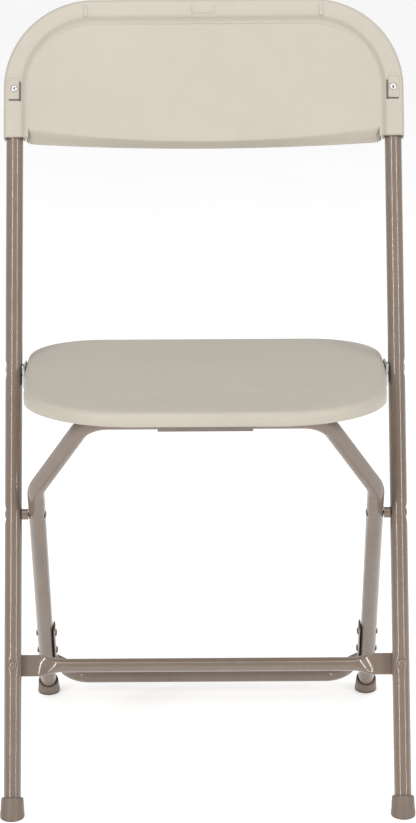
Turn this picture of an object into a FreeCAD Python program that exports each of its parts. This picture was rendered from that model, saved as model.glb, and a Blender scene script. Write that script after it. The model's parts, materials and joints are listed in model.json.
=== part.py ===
import FreeCAD, Part
import math
import os
import Sketcher
from FreeCAD import Placement, Rotation, Vector

# Folding chair, millimetres. +Z is up, the sitter faces -Y, left is -X.
# The origin lies on the floor under the middle of the bounding box.
# Every rigid group is drawn in its own flat frame and then tilted into place:
#   front group  x across, y up along the front tubes, z forward of them
#   rear group   x across, y up along the rear legs, z forward and down
#   seat group   x across, y rearward from the seat pivot, z up through the seat

doc = FreeCAD.newDocument("folding_chair")
sheet = doc.addObject("Spreadsheet::Sheet", "Sizes")

SIZES = [
    ("tube_spacing", 426.0),        # centre to centre of the front tubes
    ("lean_angle", 22.5),           # front tubes, from vertical
    ("frame_length", 899.0),        # floor to centre of the top bend, along the tube
    ("front_foot_y", -160.8),       # where the front tube axes meet the floor
    ("front_tube_dia", 19.0),
    ("rear_tube_dia", 19.0),
    ("tube_wall", 1.2),
    ("top_bend_radius", 90.0),
    ("seat_pivot_up", 490.7),       # along the front tube, from the floor
    ("cross_pivot_up", 329.7),
    ("crossbar_up", 163.3),
    ("crossbar_dia", 15.0),
    ("rear_foot_y", 194.6),
    ("rear_upper_reach", 171.1),    # cross pivot to the tube under the seat
    ("rear_splay", 9.5),            # how much further out each rear foot stands
    ("brace_dia", 15.0),
    ("brace_up", 32.0),
    ("seat_depth", 362.0),
    ("seat_behind_pivot", 124.0),
    ("seat_tilt", 2.0),
    ("seat_rise", 8.5),             # seat top above the pivot
    ("skirt_depth", 22.0),
    ("shell_wall", 3.0),
    ("back_height", 158.5),
    ("cap_wall", 2.5),              # foot cap round the tube, at its top
    ("pivot_pin_dia", 5.0),
    ("pin_clearance", 0.05),        # radial
    ("side_gap", 0.3),              # between parts that turn past each other
    ("dimple_depth", 2.0),
]
for row, (alias, value) in enumerate(SIZES, start=1):
    sheet.set("A%d" % row, alias)
    sheet.set("B%d" % row, str(value))
    sheet.setAlias("B%d" % row, alias)
doc.recompute()


def size(alias):
    return float(getattr(sheet, alias))


HALF = size("tube_spacing") / 2.0
LEAN = math.radians(size("lean_angle"))
FRONT_R = size("front_tube_dia") / 2.0
REAR_R = size("rear_tube_dia") / 2.0
WALL = size("tube_wall")
PIN_R = size("pivot_pin_dia") / 2.0
HOLE_R = PIN_R + size("pin_clearance")
GAP = size("side_gap")
DIMPLE = size("dimple_depth")
SHELL = size("shell_wall")
SIDES = (("left", -1.0), ("right", 1.0))
X_AXIS = Vector(1, 0, 0)


def on_front_tube(up):
    """World Y and Z of a point on the front tube axes."""
    return size("front_foot_y") + up * math.sin(LEAN), up * math.cos(LEAN)


P1_Y, P1_Z = on_front_tube(size("seat_pivot_up"))
P2_Y, P2_Z = on_front_tube(size("cross_pivot_up"))
REAR_LEAN = math.atan2(size("rear_foot_y") - P2_Y, P2_Z)
REAR_PIVOT_UP = math.hypot(size("rear_foot_y") - P2_Y, P2_Z)
REAR_TOP_UP = REAR_PIVOT_UP + size("rear_upper_reach")

FRONT = Placement(Vector(0, size("front_foot_y"), 0),
                  Rotation(X_AXIS, 90 - size("lean_angle")))
REAR = Placement(Vector(0, size("rear_foot_y"), 0),
                 Rotation(X_AXIS, 90 + math.degrees(REAR_LEAN)))
SEAT = Placement(Vector(0, P1_Y, P1_Z), Rotation(X_AXIS, -size("seat_tilt")))

# ---------------------------------------------------------------- helpers


def new_body(name):
    return doc.addObject("PartDesign::Body", name)


def sketch(body, name, role, offset=0.0):
    """A sketch on one of the body's own origin planes."""
    made = body.newObject("Sketcher::SketchObject", name)
    plane = [f for f in body.Origin.OriginFeatures if f.Role == role][0]
    made.AttachmentSupport = [(plane, "")]
    made.MapMode = "FlatFace"
    made.AttachmentOffset = Placement(Vector(0, 0, offset), Rotation())
    return made


def circle(sk, x, y, radius, expression=None):
    index = sk.addGeometry(Part.Circle(Vector(x, y, 0), Vector(0, 0, 1), radius), False)
    number = sk.addConstraint(Sketcher.Constraint("Radius", index, radius))
    if expression:
        sk.setExpression("Constraints[%d]" % number, expression)
    return index


def outline(sk, points, radii, closed=True):
    """Straight runs through the points, each corner rounded by its radius."""
    count = len(points)
    corners = [Vector(x, y, 0) for x, y in points]
    enters, leaves, arcs = [], [], []
    for i, corner in enumerate(corners):
        at_end = not closed and i in (0, count - 1)
        if at_end or radii[i] <= 0:
            enters.append(corner)
            leaves.append(corner)
            arcs.append(None)
            continue
        before = (corners[i - 1] - corner).normalize()
        after = (corners[(i + 1) % count] - corner).normalize()
        half_angle = before.getAngle(after) / 2.0
        run = radii[i] / math.tan(half_angle)
        middle = (before + after).normalize()
        centre = corner + middle * (radii[i] / math.sin(half_angle))
        start = corner + before * run
        stop = corner + after * run
        nearest = centre - middle * radii[i]
        enters.append(start)
        leaves.append(stop)
        arcs.append(Part.Arc(start, nearest, stop))
    shapes = []
    last = count if closed else count - 1
    for i in range(count):
        if arcs[i] is not None:
            shapes.append(arcs[i])
        if i < last:
            start, stop = leaves[i], enters[(i + 1) % count]
            if (stop - start).Length > 1e-6:
                shapes.append(Part.LineSegment(start, stop))
    sk.addGeometry(shapes, False)
    return len(shapes)


def box_outline(sk, x0, y0, x1, y1, radius=0.0):
    outline(sk, [(x0, y0), (x1, y0), (x1, y1), (x0, y1)], [radius] * 4)


def pad(body, sk, length, name="Pad", both=False, reverse=False, expression=None):
    made = body.newObject("PartDesign::Pad", name)
    made.Profile = sk
    made.Length = length
    made.Midplane = both
    made.Reversed = reverse
    if expression:
        made.setExpression("Length", expression)
    sk.Visibility = False
    return made


def pocket(body, sk, length, name="Pocket", both=False, reverse=False, through=False):
    made = body.newObject("PartDesign::Pocket", name)
    made.Profile = sk
    made.Midplane = both
    made.Reversed = reverse
    if through:
        made.Type = "ThroughAll"
    else:
        made.Length = length
    sk.Visibility = False
    return made


def pipe(name, points, radii, start_x, radius, expression):
    """A solid rod swept along a planar path that leaves the XZ plane at start_x."""
    body = new_body(name)
    path = sketch(body, name + "_path", "XY_Plane")
    outline(path, points, radii, closed=False)
    ring = sketch(body, name + "_section", "XZ_Plane", -points[0][1])
    circle(ring, start_x, 0, radius, expression)
    doc.recompute()
    made = body.newObject("PartDesign::AdditivePipe", name + "_pipe")
    made.Profile = ring
    made.Spine = path
    made.Mode = "Standard"
    doc.recompute()
    return body


def rod(name, radius, length, centre, axis, expression=None):
    """A cylinder of the given length, centred on a point."""
    made = doc.addObject("Part::Cylinder", name)
    made.Radius = radius
    made.Height = length
    if expression:
        made.setExpression("Radius", expression)
    turn = Rotation(Vector(0, 0, 1), axis)
    start = centre - axis * (length / 2.0)
    made.Placement = Placement(start, turn)
    return made


def group(name, members):
    made = doc.addObject("Part::MultiFuse", name)
    made.Shapes = members
    return made


def cut(name, base, tool):
    made = doc.addObject("Part::Cut", name)
    made.Base = base
    made.Tool = tool
    return made


def level_edges(feature, height, above_y=-1e6):
    """Names of the edges that lie flat at a height and reach above a y."""
    found = []
    for number, edge in enumerate(feature.Shape.Edges, start=1):
        ends = [v.Point for v in edge.Vertexes]
        flat = all(abs(p.z - height) < 0.01 for p in ends)
        if flat and max(p.y for p in ends) > above_y:
            found.append("Edge%d" % number)
    return found


nodes = []


def finish(item, node, placement):
    item.Label = node
    item.Placement = placement
    nodes.append(item)
    return item


def dented_tube(node, outer, inner, dents, holes, placement):
    """A thin-walled tube whose wall follows each pressed dent, with holes drilled."""
    shallow = [rod(node + "_dent", r, w, c, a) for c, a, r, w in dents]
    deep = [rod(node + "_dent_back", r + WALL, w, c, a) for c, a, r, w in dents]
    skin = cut(node + "_skin", outer, group(node + "_dents", shallow))
    void = cut(node + "_void", inner, group(node + "_dent_backs", deep))
    tube = cut(node + "_wall", skin, void)
    drills = [rod(node + "_hole", r, w, c, a) for c, a, r, w in holes]
    return finish(cut(node + "_drilled", tube, group(node + "_holes", drills)),
                  node, placement)


# ---------------------------------------------------------------- front frame tube

TUBE_START = 8.0
FRONT_PATH = [(-HALF, TUBE_START), (-HALF, size("frame_length")),
              (HALF, size("frame_length")), (HALF, TUBE_START)]
BEND = size("top_bend_radius")


def extended(path, amount):
    """The same path with both open ends run on along y."""
    first = (path[0][0], path[0][1] - amount)
    last = (path[-1][0], path[-1][1] - amount)
    return [first] + path[1:-1] + [last]


front_outer = pipe("front_outer", FRONT_PATH, [0, BEND, BEND, 0], -HALF, FRONT_R,
                   "Sizes.front_tube_dia / 2")
front_inner = pipe("front_inner", extended(FRONT_PATH, 2.0), [0, BEND, BEND, 0],
                   -HALF, FRONT_R - WALL, "Sizes.front_tube_dia / 2 - Sizes.tube_wall")

DENT_R = 24.0
CREASE_R = 16.0
CREASE_DEPTH = 1.5
SCREW_UP = size("frame_length") - 91.0
HEAD_SEAT_R = 5.9                      # flat spot pressed under each pivot head
front_dents = []
front_holes = []
for label, side in SIDES:
    for up in (size("seat_pivot_up"), size("cross_pivot_up")):
        middle = Vector(side * (HALF + FRONT_R + DENT_R - DIMPLE), up, 0)
        front_dents.append((middle, Vector(0, 0, 1), DENT_R, 30.0))
        front_holes.append((Vector(side * HALF, up, 0), X_AXIS, HOLE_R, 30.0))
        front_holes.append((Vector(side * (HALF + FRONT_R - DIMPLE + 4.0), up, 0), X_AXIS,
                            HEAD_SEAT_R, 8.0))
    bar = size("crossbar_up")
    crease = Vector(side * HALF, bar, FRONT_R + CREASE_R - CREASE_DEPTH)
    front_dents.append((crease, X_AXIS, CREASE_R, 30.0))
    front_holes.append((Vector(side * HALF, bar, 0), Vector(0, 0, 1), 2.55, 30.0))
    front_holes.append((Vector(side * HALF, bar, FRONT_R - CREASE_DEPTH + 4.0),
                        Vector(0, 0, 1), 4.8, 8.0))
    front_holes.append((Vector(side * HALF, SCREW_UP, FRONT_R), Vector(0, 0, 1), 1.75, 8.0))
front_frame = dented_tube("front_frame_tube", front_outer, front_inner,
                          front_dents, front_holes, FRONT)

# ---------------------------------------------------------------- front crossbar

BAR_R = size("crossbar_dia") / 2.0
TAB_THICK = 3.0
TAB_TALL = 24.0
TAB_FACE = -FRONT_R                    # the tabs lie against the back of the tubes
BAR_Z = TAB_FACE - TAB_THICK / 2.0
ROUND_END = HALF - 53.0
TAB_START = HALF - 25.0
TAB_END = HALF + 8.0


def bar_section(body, name, x, flat):
    """One section across the bar, at x: round, or pressed flat."""
    made = sketch(body, name, "YZ_Plane", x)
    bar = size("crossbar_up")
    if flat:
        box_outline(made, bar - TAB_TALL / 2, BAR_Z - TAB_THICK / 2,
                    bar + TAB_TALL / 2, BAR_Z + TAB_THICK / 2, TAB_THICK * 0.45)
    else:
        half_side = BAR_R - 0.15
        box_outline(made, bar - half_side, BAR_Z - half_side,
                    bar + half_side, BAR_Z + half_side, half_side * 0.98)
    return made


crossbar = new_body("crossbar_body")
tube_ring = sketch(crossbar, "bar_ring", "YZ_Plane")
circle(tube_ring, size("crossbar_up"), BAR_Z, BAR_R, "Sizes.crossbar_dia / 2")
circle(tube_ring, size("crossbar_up"), BAR_Z, BAR_R - WALL,
       "Sizes.crossbar_dia / 2 - Sizes.tube_wall")
pad(crossbar, tube_ring, 2 * ROUND_END, "bar_tube", both=True)
doc.recompute()
for label, side in SIDES:
    first = bar_section(crossbar, "bar_neck_" + label, side * (ROUND_END - 0.5), False)
    second = bar_section(crossbar, "bar_flat_" + label, side * TAB_START, True)
    doc.recompute()
    loft = crossbar.newObject("PartDesign::AdditiveLoft", "bar_taper_" + label)
    loft.Profile = first
    loft.Sections = [second]
    tab = sketch(crossbar, "bar_tab_" + label, "XY_Plane", BAR_Z)
    bar = size("crossbar_up")
    ends = sorted((side * (TAB_START - 0.5), side * TAB_END))
    box_outline(tab, ends[0], bar - TAB_TALL / 2, ends[1], bar + TAB_TALL / 2, 4.0)
    pad(crossbar, tab, TAB_THICK, "bar_tab_pad_" + label, both=True)
    hole = sketch(crossbar, "bar_hole_" + label, "XY_Plane", BAR_Z)
    circle(hole, side * HALF, bar, 2.55)
    pocket(crossbar, hole, 10, "bar_hole_cut_" + label, both=True)
    doc.recompute()
finish(crossbar, "front_crossbar", FRONT)

# ---------------------------------------------------------------- turned hardware


def turned(name, profile, centre, axis):
    """A part turned about an axis; the profile is (radius, distance along it)."""
    body = new_body(name)
    half = sketch(body, name + "_half", "XZ_Plane")
    outline(half, profile, [0] * len(profile))
    doc.recompute()
    spin = body.newObject("PartDesign::Revolution", name + "_turned")
    spin.Profile = half
    spin.ReferenceAxis = (half, ["V_Axis"])
    spin.Angle = 360
    body.Placement = Placement(centre, Rotation(Vector(0, 0, 1), axis))
    return body


def headed_pin(name, pin_r, length, head_r, head_thick, tail=None):
    """Profile of a pin: domed head at 0, shank running to -length, optional tail head."""
    dome = head_r * 0.72
    shape = [(0, head_thick), (dome * 0.55, head_thick * 0.93), (dome, head_thick * 0.72),
             (head_r, head_thick * 0.25), (head_r, 0), (pin_r, 0)]
    if tail:
        tail_r, tail_thick = tail
        shape += [(pin_r, -length), (tail_r, -length),
                  (tail_r, -length - tail_thick * 0.5),
                  (tail_r * 0.6, -length - tail_thick), (0, -length - tail_thick)]
    else:
        shape += [(pin_r, -length + 0.6), (pin_r - 0.6, -length), (0, -length)]
    return shape


def place_in(frame, body):
    body.Placement = frame.multiply(body.Placement)


DENT_FLOOR = HALF + FRONT_R - DIMPLE   # where the outer heads seat
INNER_FACE = HALF - FRONT_R            # inner side of the front tubes
WASHER = 1.5
PLATE = 2.0
SEAT_HALF = INNER_FACE - WASHER - GAP - PLATE
NUT_FACE = SEAT_HALF - SHELL - 2 * GAP
NUT_THICK = 4.6
NUT_R = 4.62
SPACER_END = INNER_FACE - 7.0
REAR_HALF = SPACER_END - 1.5 * GAP - REAR_R  # rear leg axis at the cross pivot
REAR_DIMPLE = 1.5

for label, side in SIDES:
    outward = Vector(side, 0, 0)
    head_at = Vector(side * DENT_FLOOR, size("seat_pivot_up"), 0)
    reach = DENT_FLOOR - (NUT_FACE - NUT_THICK - 1.5)
    bolt = turned("pivot_bolt_" + label,
                  headed_pin("bolt", PIN_R, reach, 5.6, 1.9), head_at, outward)
    place_in(FRONT, bolt)
    finish(bolt, "seat_pivot_bolt_" + label, bolt.Placement)

    washer_at = Vector(side * (INNER_FACE - WASHER), size("seat_pivot_up"), 0)
    ring = [(HOLE_R, 0), (7.0, 0), (7.0, WASHER), (HOLE_R, WASHER)]
    washer = turned("pivot_washer_" + label, ring, washer_at, outward)
    place_in(FRONT, washer)
    finish(washer, "seat_pivot_washer_" + label, washer.Placement)

    nut = new_body("pivot_nut_" + label)
    hexagon = sketch(nut, "nut_section_" + label, "XY_Plane")
    corners = [(NUT_R * math.cos(math.radians(60 * k)), NUT_R * math.sin(math.radians(60 * k)))
               for k in range(6)]
    outline(hexagon, corners, [0] * 6)
    circle(hexagon, 0, 0, HOLE_R, "Sizes.pivot_pin_dia / 2 + Sizes.pin_clearance")
    pad(nut, hexagon, NUT_THICK, "nut_pad_" + label)
    nut_at = Vector(side * (NUT_FACE - NUT_THICK), size("seat_pivot_up"), 0)
    nut.Placement = Placement(nut_at, Rotation(Vector(0, 0, 1), outward))
    place_in(FRONT, nut)
    finish(nut, "seat_pivot_nut_" + label, nut.Placement)

    spacer_at = Vector(side * SPACER_END, size("cross_pivot_up"), 0)
    length = INNER_FACE - SPACER_END
    ring = [(HOLE_R, 0), (6.0, 0), (6.0, length), (HOLE_R, length)]
    spacer = turned("cross_spacer_" + label, ring, spacer_at, outward)
    place_in(FRONT, spacer)
    finish(spacer, "cross_pivot_spacer_" + label, spacer.Placement)

    rivet_at = Vector(side * DENT_FLOOR, size("cross_pivot_up"), 0)
    tail_face = REAR_HALF - REAR_R + REAR_DIMPLE - GAP
    rivet = turned("cross_rivet_" + label,
                   headed_pin("rivet", PIN_R, DENT_FLOOR - tail_face, 5.0, 1.8, (4.5, 2.0)),
                   rivet_at, outward)
    place_in(FRONT, rivet)
    finish(rivet, "cross_pivot_rivet_" + label, rivet.Placement)

    face = FRONT_R - CREASE_DEPTH
    bar_rivet = turned("bar_rivet_" + label,
                       headed_pin("bar_rivet", 2.5, face - BAR_Z + TAB_THICK / 2, 4.5, 2.2,
                                  (4.0, 1.6)),
                       Vector(side * HALF, size("crossbar_up"), face), Vector(0, 0, 1))
    place_in(FRONT, bar_rivet)
    finish(bar_rivet, "front_crossbar_rivet_" + label, bar_rivet.Placement)

# ---------------------------------------------------------------- feet


def foot_cap(node, frame, x, lean_turn, tube_r, tube_start, height, splay=0.0):
    """A ribbed cap over a leg end, trimmed flat to the floor."""
    r = tube_r + size("cap_wall")
    body = new_body(node + "_body")
    half = sketch(body, node + "_half", "XY_Plane")
    outline(half, [(0, -16), (r + 1.2, -16), (r + 1.2, 7), (r, height - 2), (r - 1.0, height),
                   (tube_r, height), (tube_r, tube_start), (0, tube_start)], [0] * 8)
    doc.recompute()
    spin = body.newObject("PartDesign::Revolution", node + "_turned")
    spin.Profile = half
    spin.ReferenceAxis = (half, ["V_Axis"])
    spin.Angle = 360
    body.Placement = Placement(Vector(x, 0, 0), Rotation(Vector(0, 0, 1), splay))
    floor = doc.addObject("Part::Box", node + "_floor")
    floor.Length = 80
    floor.Width = 80
    floor.Height = 60
    untilt = Rotation(X_AXIS, -lean_turn)
    corner = Vector(x, 0, 0) + untilt.multVec(Vector(-40, -40, -60))
    floor.Placement = Placement(corner, untilt)
    return finish(cut(node + "_trimmed", body, floor), node, frame)


for label, side in SIDES:
    foot_cap("front_foot_" + label, FRONT, side * HALF, 90 - size("lean_angle"),
             FRONT_R, TUBE_START, 20.5)

# ---------------------------------------------------------------- rear frame tube

REAR_START = 9.0
KNEE_UP = REAR_PIVOT_UP + 47.0
TOP_HALF = REAR_HALF - 61.5
SPLAY = size("rear_splay")
REAR_FOOT_HALF = REAR_HALF + SPLAY * REAR_PIVOT_UP / (KNEE_UP - REAR_START)


def leg_x(up):
    """Distance of a rear leg's axis from the middle, at a height along the leg."""
    return REAR_HALF + SPLAY * (REAR_PIVOT_UP - up) / (KNEE_UP - REAR_START)


KNEE_HALF = leg_x(KNEE_UP)
half_path = [(-leg_x(REAR_START), REAR_START), (-KNEE_HALF, KNEE_UP),
             (-TOP_HALF, REAR_TOP_UP)]
REAR_PATH = half_path + [(-x, y) for x, y in reversed(half_path)]
REAR_BENDS = [0, 45.0, 36.0, 36.0, 45.0, 0]
rear_outer = pipe("rear_outer", REAR_PATH, REAR_BENDS, -leg_x(REAR_START), REAR_R,
                  "Sizes.rear_tube_dia / 2")
inner_path = [(-leg_x(REAR_START - 2.0), REAR_START - 2.0)] + REAR_PATH[1:-1]
inner_path += [(leg_x(REAR_START - 2.0), REAR_START - 2.0)]
rear_inner = pipe("rear_inner", inner_path, REAR_BENDS, -leg_x(REAR_START - 2.0),
                  REAR_R - WALL, "Sizes.rear_tube_dia / 2 - Sizes.tube_wall")
REAR_DENT_R = 22.0
BRACE_RIVETS_UP = (95.5, 134.0)
rear_dents = []
rear_holes = []
for label, side in SIDES:
    middle = Vector(side * (REAR_HALF - REAR_R - REAR_DENT_R + REAR_DIMPLE), REAR_PIVOT_UP, 0)
    rear_dents.append((middle, Vector(0, 0, 1), REAR_DENT_R, 30.0))
    rear_holes.append((Vector(side * REAR_HALF, REAR_PIVOT_UP, 0), X_AXIS, HOLE_R, 30.0))
    rear_holes.append((Vector(side * (REAR_HALF - REAR_R + REAR_DIMPLE - 4.0), REAR_PIVOT_UP, 0),
                       X_AXIS, 5.4, 8.0))
    for up in BRACE_RIVETS_UP:
        rear_holes.append((Vector(side * leg_x(up), up, 0), X_AXIS, 2.55, 24.0))
rear_frame = dented_tube("rear_frame_tube", rear_outer, rear_inner,
                         rear_dents, rear_holes, REAR)

for label, side in SIDES:
    splay_angle = math.degrees(math.atan(SPLAY / (KNEE_UP - REAR_START)))
    foot_cap("rear_foot_" + label, REAR, side * leg_x(0.0), 90 + math.degrees(REAR_LEAN),
             REAR_R, REAR_START - 0.3, 25.0, side * splay_angle)

# ---------------------------------------------------------------- rear brace

BRACE_R = size("brace_dia") / 2.0
BRACE_TAB = 3.0
BRACE_TAB_WIDE = 15.0
BRACE_BEND = 30.0
TAB_HIGH = 148.0
TAB_FACE_X = leg_x(TAB_HIGH) - REAR_R   # tab rests on the inner side of the leg
NECK_UP = size("brace_up") + BRACE_BEND + 1.0
TAB_UP = NECK_UP + 8.0

brace = new_body("brace_body")
brace_half = TAB_FACE_X - BRACE_R - 1.0
brace_path = sketch(brace, "brace_path", "XY_Plane")
outline(brace_path, [(-brace_half, NECK_UP), (-brace_half, size("brace_up")),
                     (brace_half, size("brace_up")), (brace_half, NECK_UP)],
        [0, BRACE_BEND, BRACE_BEND, 0], closed=False)
brace_ring = sketch(brace, "brace_ring", "XZ_Plane", -(NECK_UP))
circle(brace_ring, -brace_half, 0, BRACE_R, "Sizes.brace_dia / 2")
circle(brace_ring, -brace_half, 0, BRACE_R - WALL, "Sizes.brace_dia / 2 - Sizes.tube_wall")
doc.recompute()
sweep = brace.newObject("PartDesign::AdditivePipe", "brace_pipe")
sweep.Profile = brace_ring
sweep.Spine = brace_path
sweep.Mode = "Standard"
doc.recompute()
for label, side in SIDES:
    tab_x = sorted((side * TAB_FACE_X, side * (TAB_FACE_X - BRACE_TAB)))
    neck = sketch(brace, "brace_neck_" + label, "XZ_Plane", -(NECK_UP - 0.5))
    half_side = BRACE_R - 0.15
    box_outline(neck, side * brace_half - half_side, -half_side, side * brace_half + half_side,
                half_side, half_side * 0.98)
    flat = sketch(brace, "brace_flat_" + label, "XZ_Plane", -(TAB_UP))
    box_outline(flat, tab_x[0], -BRACE_TAB_WIDE / 2, tab_x[1], BRACE_TAB_WIDE / 2,
                BRACE_TAB * 0.45)
    doc.recompute()
    loft = brace.newObject("PartDesign::AdditiveLoft", "brace_taper_" + label)
    loft.Profile = neck
    loft.Sections = [flat]
    tab = sketch(brace, "brace_tab_" + label, "XZ_Plane", -(TAB_UP - 0.5))
    box_outline(tab, tab_x[0], -BRACE_TAB_WIDE / 2, tab_x[1], BRACE_TAB_WIDE / 2,
                BRACE_TAB * 0.45)
    pad(brace, tab, TAB_HIGH - TAB_UP + 0.5, "brace_tab_pad_" + label, reverse=True)
    holes = sketch(brace, "brace_holes_" + label, "YZ_Plane", tab_x[0] + BRACE_TAB / 2)
    for up in BRACE_RIVETS_UP:
        circle(holes, up, 0, 2.55)
    pocket(brace, holes, 8, "brace_holes_cut_" + label, both=True)
    doc.recompute()
finish(brace, "rear_brace", REAR)

for label, side in SIDES:
    pins = []
    for number, up in enumerate(BRACE_RIVETS_UP):
        seat_x = TAB_FACE_X - BRACE_TAB
        out = leg_x(up) + REAR_R + 0.12
        pins.append(turned("brace_rivet_%s_%d" % (label, number),
                           headed_pin("brace_rivet", 2.5, out - seat_x, 4.2, 1.8, (3.8, 1.6)),
                           Vector(side * seat_x, up, 0), Vector(-side, 0, 0)))
    both = doc.addObject("Part::Compound", "brace_rivets_" + label)
    both.Links = pins
    finish(both, "rear_brace_rivets_" + label, REAR)

# ---------------------------------------------------------------- seat shell

TOP = size("seat_rise")
BACK = size("seat_behind_pivot")
FRONT_EDGE = BACK - size("seat_depth")
SKIRT = size("skirt_depth")
UNDER = TOP - SHELL
TAPER = 13.0                           # each side, over the front of the seat
TAPER_START = -10.0
FRONT_HALF = SEAT_HALF - TAPER
FRONT_CORNER = 120.0
BACK_CORNER = 80.0
P3_DY = P2_Y - size("rear_upper_reach") * math.sin(REAR_LEAN) - P1_Y
P3_DZ = P2_Z + size("rear_upper_reach") * math.cos(REAR_LEAN) - P1_Z
TILT = math.radians(size("seat_tilt"))
BAR_Y = P3_DY * math.cos(TILT) - P3_DZ * math.sin(TILT)
BAR_DROP = P3_DY * math.sin(TILT) + P3_DZ * math.cos(TILT)
REST = BAR_DROP + REAR_R + GAP         # underside of the stop bracket's top plate


def seat_plan(sk, inset):
    wide = SEAT_HALF - inset
    narrow = FRONT_HALF - inset
    outline(sk,
            [(-wide, BACK - inset), (-wide, TAPER_START), (-narrow, FRONT_EDGE + inset),
             (narrow, FRONT_EDGE + inset), (wide, TAPER_START), (wide, BACK - inset)],
            [BACK_CORNER - inset, 300, FRONT_CORNER - inset,
             FRONT_CORNER - inset, 300, BACK_CORNER - inset])


SIDE_ANGLE = math.atan2(TAPER, TAPER_START - FRONT_EDGE)
FRONT_RUN = FRONT_CORNER / math.tan(math.radians(45) + SIDE_ANGLE / 2.0)


def round_in(x, flat_half, radius):
    """How far the rounded corner has drawn back from a straight edge at x."""
    past = max(0.0, abs(x) - flat_half)
    return radius - math.sqrt(max(0.0, radius * radius - past * past))


seat = new_body("seat_body")
plan = sketch(seat, "seat_plan", "XY_Plane", TOP)
seat_plan(plan, 0.0)
pad(seat, plan, SKIRT, "seat_block", reverse=True, expression="Sizes.skirt_depth")
doc.recompute()
block = seat.Tip
roll = seat.newObject("PartDesign::Fillet", "seat_roll")
roll.Base = (block, level_edges(block, TOP))
roll.Radius = 6.0
doc.recompute()
hollow = sketch(seat, "seat_hollow", "XY_Plane", TOP - SKIRT)
seat_plan(hollow, SHELL)
pocket(seat, hollow, SKIRT - SHELL, "seat_hollow_cut", reverse=True)
doc.recompute()
hollowed = seat.Tip
cove = seat.newObject("PartDesign::Fillet", "seat_cove")
cove.Base = (hollowed, level_edges(hollowed, UNDER))
cove.Radius = 1.5
doc.recompute()
RIB = 2.2
RIB_DEEP = 8.0
ribs = sketch(seat, "seat_ribs", "XY_Plane", UNDER + 0.5)
for x in (-150, -100, -50, 0, 50, 100, 150):
    start_y = FRONT_EDGE + 2.0 + round_in(x, FRONT_HALF - FRONT_RUN, FRONT_CORNER)
    end_y = BACK - 2.0 - round_in(x, SEAT_HALF - BACK_CORNER, BACK_CORNER)
    box_outline(ribs, x - RIB / 2, start_y, x + RIB / 2, end_y)
pad(seat, ribs, RIB_DEEP, "seat_rib_pad", reverse=True)
doc.recompute()
cross_ribs = sketch(seat, "seat_cross_ribs", "XY_Plane", UNDER + 0.5)
for y in (-110, -60, 40, 85):
    narrowed = max(0.0, TAPER_START - y) * math.tan(SIDE_ANGLE)
    narrowed += round_in(max(0.0, y), BACK - BACK_CORNER, BACK_CORNER)
    reach = SEAT_HALF - 1.8 - narrowed
    box_outline(cross_ribs, -reach, y - RIB / 2, reach, y + RIB / 2)
pad(seat, cross_ribs, RIB_DEEP, "seat_cross_rib_pad", reverse=True)
doc.recompute()
STOP_SCREWS = [(-32.0, BAR_Y + 24.0), (32.0, BAR_Y + 24.0)]
STOP_PLATE = 1.6
SIDE_SCREW_X = SEAT_HALF - 17.0
SIDE_SCREW_Y = (-15.0, 11.0)
bosses = sketch(seat, "stop_bosses", "XY_Plane", UNDER + 0.5)
for x, y in STOP_SCREWS:
    circle(bosses, x, y, 5.0)
pad(seat, bosses, UNDER + 0.5 - REST - STOP_PLATE, "stop_boss_pad", reverse=True)
doc.recompute()
side_bosses = sketch(seat, "side_bosses", "XY_Plane", UNDER + 0.5)
for label, side in SIDES:
    for y in SIDE_SCREW_Y:
        circle(side_bosses, side * SIDE_SCREW_X, y, 4.5)
pad(seat, side_bosses, UNDER + 0.5 - TOP + SKIRT, "side_boss_pad", reverse=True)
doc.recompute()
SHALLOW = 8.0
wedge = sketch(seat, "seat_rear_rise", "YZ_Plane")
outline(wedge, [(24, TOP - SKIRT - 5), (24, TOP - SKIRT), (46, TOP - SHALLOW),
                (BACK + 5, TOP - SHALLOW), (BACK + 5, TOP - SKIRT - 5)], [0] * 5)
pocket(seat, wedge, 4 * SEAT_HALF, "seat_rear_rise_cut", both=True)
apron_cut = sketch(seat, "seat_front_rise", "YZ_Plane")
low = TOP - SKIRT
outline(apron_cut, [(FRONT_EDGE + 95, low - 5), (FRONT_EDGE + 95, low), (FRONT_EDGE + 25, TOP - 15),
                    (FRONT_EDGE - 5, TOP - 15), (FRONT_EDGE - 5, low - 5)], [0] * 5)
pocket(seat, apron_cut, 4 * SEAT_HALF, "seat_front_rise_cut", both=True)
doc.recompute()
pilots = sketch(seat, "seat_pilots", "XY_Plane", TOP - SKIRT)
for label, side in SIDES:
    for y in SIDE_SCREW_Y:
        circle(pilots, side * SIDE_SCREW_X, y, 1.8)
pocket(seat, pilots, SKIRT - SHELL - 1, "seat_pilot_cut", reverse=True)
stop_pilots = sketch(seat, "stop_pilots", "XY_Plane", REST + STOP_PLATE)
for x, y in STOP_SCREWS:
    circle(stop_pilots, x, y, 1.8)
pocket(seat, stop_pilots, UNDER - REST - STOP_PLATE - 0.5, "stop_pilot_cut", reverse=True)
bolt_way = sketch(seat, "bolt_way", "YZ_Plane")
circle(bolt_way, 0, 0, 3.6)
pocket(seat, bolt_way, 4 * SEAT_HALF, "bolt_way_cut", both=True)
doc.recompute()
finish(seat, "seat_shell", SEAT)

# ---------------------------------------------------------------- seat hardware

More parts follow.
